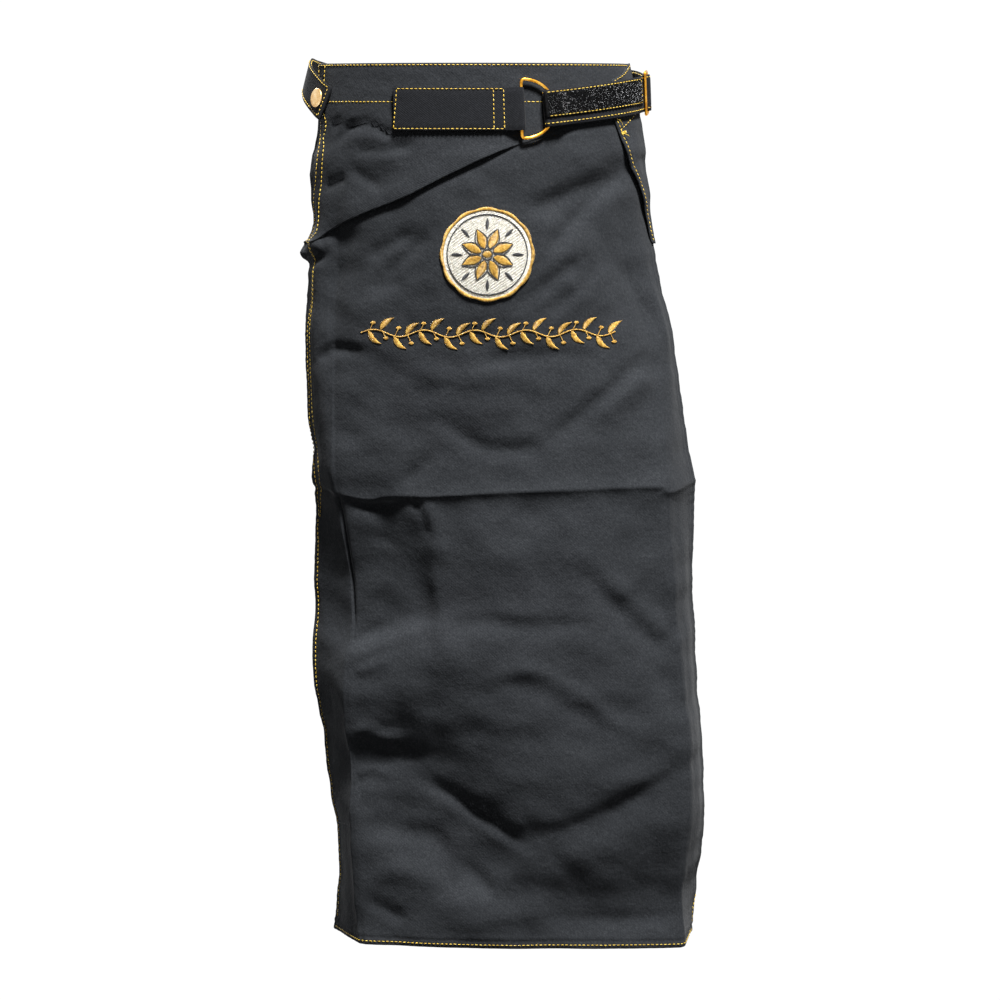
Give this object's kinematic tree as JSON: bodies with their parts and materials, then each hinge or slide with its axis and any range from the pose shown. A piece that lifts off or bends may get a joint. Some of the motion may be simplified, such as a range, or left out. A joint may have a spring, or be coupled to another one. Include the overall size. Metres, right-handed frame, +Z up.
{
  "type": "waiter apron",
  "caption": "Long dark twill waist apron in its worn form, with a strap through a slide to a D-ring, a stitched tab, a button and a round embroidered badge.",
  "frame": {"origin": "centre of the waist opening, level with the panel's top edge", "axes": "+Z up from the hem to the waist, -Y out of the panel's front, +X to the viewer's right"},
  "size_m": [0.4123, 0.2377, 0.8922],
  "materials": {
    "twill": "matt black cotton-mix twill with mustard topstitching",
    "hook_tape": "black hook-and-loop tape",
    "brass": "antique gold wire, satin",
    "pale_brass": "pale brass, satin",
    "embroidery": "satin-stitch thread in cream, gold and charcoal"
  },
  "bodies": {
    "root": {"apron_panel": "twill", "ring_tab": "twill", "waist_strap": "twill", "hook_tape": "hook_tape", "d_ring": "brass", "strap_slide": "brass", "strap_button": "pale_brass", "emblem": "embroidery"}
  },
  "joints": []
}
